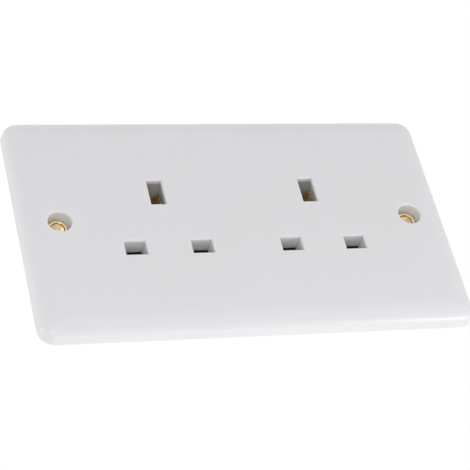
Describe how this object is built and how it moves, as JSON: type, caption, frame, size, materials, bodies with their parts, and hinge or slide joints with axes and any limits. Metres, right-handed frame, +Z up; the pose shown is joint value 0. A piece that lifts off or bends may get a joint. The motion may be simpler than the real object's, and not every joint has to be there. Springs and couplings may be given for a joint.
{
  "type": "twin wall socket",
  "caption": "White flush wall socket outlet plate for two three-pin plugs, with shuttered slots, brass contacts, pillar terminals and two fixing holes.",
  "frame": {"origin": "on the wall plane, midway between the two fixing holes", "axes": "+X along the plate to the right as seen from the front, +Y into the wall, +Z up; the face looks along -Y"},
  "size_m": [0.146, 0.0303, 0.086],
  "materials": {
    "gloss_white_moulding": "polished white moulding",
    "satin_white_moulding": "satin white moulding",
    "black_moulding": "satin black moulding",
    "sheet_brass": "rolled and folded sheet",
    "turned_brass": "sawn and drilled bar",
    "eyelet_brass": "bright rolled eyelet",
    "plated_screw": "zinc plated, slotted",
    "spring_wire": "drawn wire"
  },
  "bodies": {
    "root": {"earth_bar": "sheet_brass", "earth_contact_left": "sheet_brass", "earth_contact_right": "sheet_brass", "earth_strap_left": "sheet_brass", "earth_strap_right": "sheet_brass", "earth_terminal_left": "turned_brass", "earth_terminal_right": "turned_brass", "faceplate": "gloss_white_moulding", "fixing_eyelet_left": "eyelet_brass", "fixing_eyelet_right": "eyelet_brass", "housing_screw_1": "plated_screw", "housing_screw_2": "plated_screw", "housing_screw_3": "plated_screw", "housing_screw_4": "plated_screw", "live_bar": "sheet_brass", "live_contact_left": "sheet_brass", "live_contact_right": "sheet_brass", "live_terminal": "turned_brass", "neutral_bar": "sheet_brass", "neutral_contact_left": "sheet_brass", "neutral_contact_right": "sheet_brass", "neutral_terminal": "turned_brass", "rear_housing": "satin_white_moulding", "shutter_spring_left": "spring_wire", "shutter_spring_right": "spring_wire"},
    "shutter_left": {"shutter_left": "black_moulding"},
    "shutter_right": {"shutter_right": "black_moulding"},
    "neutral_terminal_screw": {"neutral_terminal_screw": "plated_screw"},
    "live_terminal_screw": {"live_terminal_screw": "plated_screw"},
    "earth_terminal_left_screw": {"earth_terminal_left_screw": "plated_screw"},
    "earth_terminal_right_screw": {"earth_terminal_right_screw": "plated_screw"}
  },
  "joints": [
    {"name": "shutter_left_slide", "type": "slide", "parent": "root", "child": "shutter_left", "axis": [0, 0, 1], "range_m": [0, 0.0062], "stiffness_N_per_m": 80, "springref_m": -0.004, "deforming": ["shutter_spring_left"]},
    {"name": "shutter_right_slide", "type": "slide", "parent": "root", "child": "shutter_right", "axis": [0, 0, 1], "range_m": [0, 0.0062], "stiffness_N_per_m": 80, "springref_m": -0.004, "deforming": ["shutter_spring_right"]},
    {"name": "neutral_terminal_screw_drive", "type": "slide", "parent": "root", "child": "neutral_terminal_screw", "axis": [0, -1, 0], "range_m": [0, 0.0033]},
    {"name": "live_terminal_screw_drive", "type": "slide", "parent": "root", "child": "live_terminal_screw", "axis": [0, -1, 0], "range_m": [0, 0.0033]},
    {"name": "earth_terminal_left_screw_drive", "type": "slide", "parent": "root", "child": "earth_terminal_left_screw", "axis": [0, -1, 0], "range_m": [0, 0.0033]},
    {"name": "earth_terminal_right_screw_drive", "type": "slide", "parent": "root", "child": "earth_terminal_right_screw", "axis": [0, -1, 0], "range_m": [0, 0.0033]}
  ]
}
